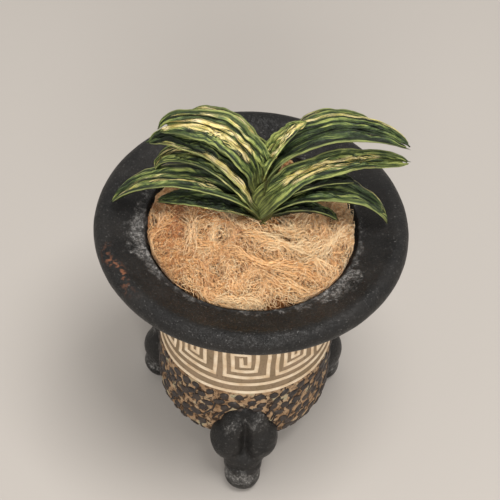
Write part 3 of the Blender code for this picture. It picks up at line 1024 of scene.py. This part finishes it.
class Blade:
    """A folded strap leaf, in the plant's frame."""

    def __init__(self, row, seed):
        self.side, height, distance, behind, rise, tip_rise, self.lateness, length = row[:8]
        swing, roll, half_width, opening = row[8:]
        self.rise = math.radians(rise)
        self.tip_rise = math.radians(tip_rise)
        self.length = length * MM
        self.swing = math.radians(swing)
        self.roll = math.radians(roll)
        self.half_width = half_width * MM
        self.opening = math.radians(opening)
        self.start = Vector((self.side * distance, behind, height)) * MM
        self.seed = seed

    def direction(self, along):
        """The way the fold runs there: it starts at the base's rise and bends over to the tip's."""
        angle = self.rise + (self.tip_rise - self.rise) * max(along, 0) ** self.lateness
        out = math.cos(angle)
        return Vector(
            (self.side * out * math.cos(self.swing), out * math.sin(self.swing), math.sin(angle))
        )

    def spine(self, along, steps=14):
        point = self.start.copy()
        for i in range(steps):
            point += self.direction(along * (i + 0.5) / steps) * (self.length * along / steps)
        return point

    def width(self, along):
        """From the fold to a margin: the sheath's at the base, then the leaf's own, then tapering."""
        growth = clamp(along / 0.24)
        base = min(SHEATH_HALF_WIDTH, self.half_width) * (1 + 2.5 * min(along, 0))
        width = base + (self.half_width - base) * growth**2 * (3 - 2 * growth)
        taper = clamp((along - 0.4) / 0.6)
        rounding = clamp((along - 0.93) / 0.07)
        return width * (1 - 0.72 * taper**2.2) * math.sqrt(1 - 0.8 * rounding**2)

    def half_opening(self, along):
        return SHEATH_OPENING + (self.opening - SHEATH_OPENING) * clamp(along / 0.35)

    def reach(self, across):
        """How far this strip runs: the fold stops short, so that the tip is notched."""
        notch = clamp(1 - abs(across) / 0.5) ** 1.5
        ragged = noise.noise(Vector((across * 2.5, self.seed * 3, 8.0))) * 0.05
        return 1 - 0.06 * notch + ragged

    def rib(self, along, across):
        """The shrivelled ribs that run along the blade, from -1 in a furrow to 1 on a crest."""
        away = abs(across)
        side_seed = math.copysign(1.7, across) + self.seed
        drift = noise.noise(Vector((along * 3.2, side_seed, away * 0.8))) * 0.8
        split = noise.noise(Vector((along * 3.1, side_seed, 4.0)))
        broad = 1 - 2 * abs(math.sin(math.pi * (3.1 * away + 1.3 * drift + side_seed)))
        fine = math.cos(2 * math.pi * ((6.2 + split) * away + 3 * drift))
        return clamp(0.75 * broad + 0.5 * fine * (0.6 + split), -1.0, 1.0)

    def relief(self, along, across):
        """How far ribs, dents and the arch of each half lift the blade off a flat fold."""
        away = abs(across)
        pinch = noise.noise(Vector((along * 8, across * 3, self.seed))) * 1.3
        pinch += noise.noise(Vector((along * 22, across * 6, self.seed))) * 0.35
        fade = math.sin(math.pi * clamp(away, 0.04, 1)) * clamp(along / 0.15) * clamp((1.04 - along) / 0.12)
        return (0.66 * self.rib(along, across) + pinch) * fade * MM + 0.13 * self.width(along) * fade

    def at(self, along, across):
        """The point at a share of the length, and at a share of the width from -1 to 1."""
        forward = self.direction(along)
        back = Vector((-self.side * math.sin(self.swing), math.cos(self.swing), 0))
        up = forward.cross(back) * self.side
        turn = Matrix.Rotation(-self.side * self.roll, 3, forward)
        up, back = turn @ up, turn @ back
        opening = self.half_opening(along)
        sign = math.copysign(1, across)
        lean = back * (sign * math.sin(opening)) + up * math.cos(opening)
        inward = up * math.sin(opening) - back * (sign * math.cos(opening))
        ripple = noise.noise(Vector((along * 5, sign * 2, self.seed + 3))) * 0.2
        ripple += noise.noise(Vector((along * 19, sign * 2, self.seed + 5))) * 0.07
        reach = self.width(along) * abs(across) * (1 + ripple)
        return self.spine(along) + lean * reach + inward * self.relief(along, across)


def band_strength(name, along, across):
    """How cream the leaf is there, from its strongest band."""
    best = 0.0
    for centre, half_width, strength, start, end in BANDS[name]:
        ends = clamp((along - start) / 0.08 + 0.5) * clamp((end - along) / 0.06 + 0.5)
        best = max(best, strength * bell(across, centre, half_width * 1.5) * ends)
    return best


def build_blade(name, row, finish, number):
    """A flat grid bent to the leaf's shape, then thickened, less so at its margins and tip."""
    blade = Blade(row, number * 0.37)
    bm = bmesh.new()
    bmesh.ops.create_grid(bm, x_segments=BLADE_STATIONS, y_segments=BLADE_STRIPS, size=1)
    layers = {
        key: bm.verts.layers.float.new(key)
        for key in ("along", "across", "cream", "margin", "pale", "sheath", "seed", "rib")
    }
    thickness = bm.verts.layers.deform.new()
    for vert in bm.verts:
        across = vert.co.y
        along = ((1 + SHEATH_FOOT) * (vert.co.x + 1) / 2 - SHEATH_FOOT) * blade.reach(across)
        vert[layers["along"]] = along
        vert[layers["across"]] = across
        vert[layers["cream"]] = band_strength(name, along, across)
        vert[layers["margin"]] = clamp((abs(across) - 0.9) / 0.1) * clamp(along / 0.2)
        vert[layers["pale"]] = PALENESS[name]
        vert[layers["sheath"]] = 0.35 * clamp(1 - along / 0.1)
        vert[layers["seed"]] = number * 0.71
        fade = clamp((along + SHEATH_FOOT) / 0.12) * clamp(8 * (1 - abs(across)))
        # The rib value also paints highlight onto the crests and shade into the furrows.
        vert[layers["rib"]] = blade.rib(along, across) * fade
        vert[thickness][0] = (1 - 0.6 * abs(across) ** 2) * (1 - 0.5 * clamp((along - 0.6) / 0.4))
        vert.co = blade.at(along, across)
    bm.transform(PLANT)
    obj = piece("blade_" + name, bm, [finish], ["leaf_" + name], smooth=75)
    obj.vertex_groups.new(name="thickness")
    solidify = obj.modifiers.new("Thickness", "SOLIDIFY")
    solidify.thickness = BLADE_THICKNESS
    solidify.offset = 0
    solidify.vertex_group = "thickness"


def build_dry_scales(finish):
    """Withered scraps of old sheath round the front of the stem's foot."""
    pen = random.Random(19)
    bm = bmesh.new()
    for scrap in range(SCRAP_COUNT):
        turn = math.radians(-80 + 160 * scrap / (SCRAP_COUNT - 1) + pen.uniform(-8, 8))
        length, half_width = pen.uniform(4, 8) * MM, pen.uniform(0.5, 1.1) * MM
        curl = pen.uniform(0.3, 1.1)
        first = len(bm.verts)
        bmesh.ops.create_grid(bm, x_segments=8, y_segments=3, size=1)
        bm.verts.ensure_lookup_table()
        for vert in bm.verts[first:]:
            along, across = (vert.co.x + 1) / 2, vert.co.y
            out = 2.0 * MM + along * length
            height = -0.6 * MM + 1.6 * MM * math.sin(along * 2.2) - curl * along**2 * MM
            aside = across * half_width * (1 - 0.8 * along) + curl * along**2 * MM
            direction = Vector((math.sin(turn), -math.cos(turn), 0))
            sideways = Vector((direction.y, -direction.x, 0))
            vert.co = direction * out + sideways * aside + Vector((0, 0, height))
            vert.co.z += 0.3 * MM * across**2
    bm.transform(Matrix.Translation(PLANT_BASE))
    obj = piece("dry_scales", bm, [finish])
    solidify = obj.modifiers.new("Thickness", "SOLIDIFY")
    solidify.thickness = 0.25 * MM


def dress_cad_node(name, material):
    """Gives a CAD node that keeps its own shape its material."""
    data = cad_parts[name].data
    data.materials.clear()
    data.materials.append(material)


# Studio


def build_studio():
    """A plain warm grey floor, an even surround, and two soft lights."""
    scene = bpy.context.scene
    scene.view_settings.view_transform = "Standard"
    bm = bmesh.new()
    bmesh.ops.create_grid(bm, x_segments=1, y_segments=1, size=2.5)
    mesh = bpy.data.meshes.new("floor")
    bm.to_mesh(mesh)
    bm.free()
    mesh.materials.append(floor_finish())
    floor = bpy.data.objects.new("floor", mesh)
    scene.collection.objects.link(floor)
    world = bpy.data.worlds.new("studio")
    world.use_nodes = True
    background = world.node_tree.nodes["Background"]
    background.inputs["Color"].default_value = (1.0, 0.965, 0.93, 1)
    background.inputs["Strength"].default_value = 0.52
    scene.world = world
    add_softbox("key", (0.16, -0.18, 1.1), 0.45, 8.6, (1.0, 0.975, 0.95))
    add_softbox("fill", (0.05, -0.95, 0.62), 0.4, 5.6, (1.0, 0.97, 0.94))


def add_softbox(name, place, size, power, colour):
    light = bpy.data.lights.new(name, "AREA")
    light.size = size
    light.energy = power
    light.color = colour
    lamp = bpy.data.objects.new(name, light)
    lamp.location = place
    lamp.rotation_mode = "QUATERNION"
    aim = Vector((0, 0, LIP_HEIGHT)) - lamp.location
    lamp.rotation_quaternion = aim.to_track_quat("-Z", "Y")
    bpy.context.scene.collection.objects.link(lamp)


def build_camera():
    """Looks down on the rim from the front, rolled a little, with the rim above the middle of the view."""
    elevation = math.radians(48.7)
    distance = 0.6
    rim_centre = Vector((0, 0, LIP_HEIGHT))
    camera = bpy.data.cameras.new("camera")
    camera.lens = 123.84
    camera.sensor_width = 36
    camera.clip_start = 0.01
    camera.clip_end = 20
    eye = bpy.data.objects.new("camera", camera)
    bpy.context.scene.collection.objects.link(eye)
    eye.location = rim_centre + Vector((0, -math.cos(elevation), math.sin(elevation))) * distance
    aim = (rim_centre - eye.location).to_track_quat("-Z", "Y")
    roll = Quaternion((0, 0, 1), math.radians(3.3))
    tilt = Quaternion((1, 0, 0), math.radians(-0.78))
    pan = Quaternion((0, 1, 0), math.radians(0.05))
    eye.rotation_mode = "QUATERNION"
    eye.rotation_quaternion = aim @ roll @ tilt @ pan
    bpy.context.scene.camera = eye


def build():
    build_camera()
    build_studio()
    stoneware = black_stoneware()
    build_pot([stoneware, band_clay(), belly_clay()])
    build_fret(cream_slip())
    build_belly_spots(dark_slip())
    for name, angle in FOOT_TURNS.items():
        build_foot(name, angle, stoneware)
    moss = moss_finish()
    build_moss_bed(moss)
    build_moss_strands(moss)
    leaf = leaf_finish()
    for number, (name, row) in enumerate(LEAVES.items()):
        build_blade(name, row, leaf, number)
    build_dry_scales(dry_scale_finish())
    dress_cad_node("stem", stem_finish())
    root = root_finish()
    for number in range(1, ROOT_COUNT + 1):
        dress_cad_node(f"root_{number}", root)


build()
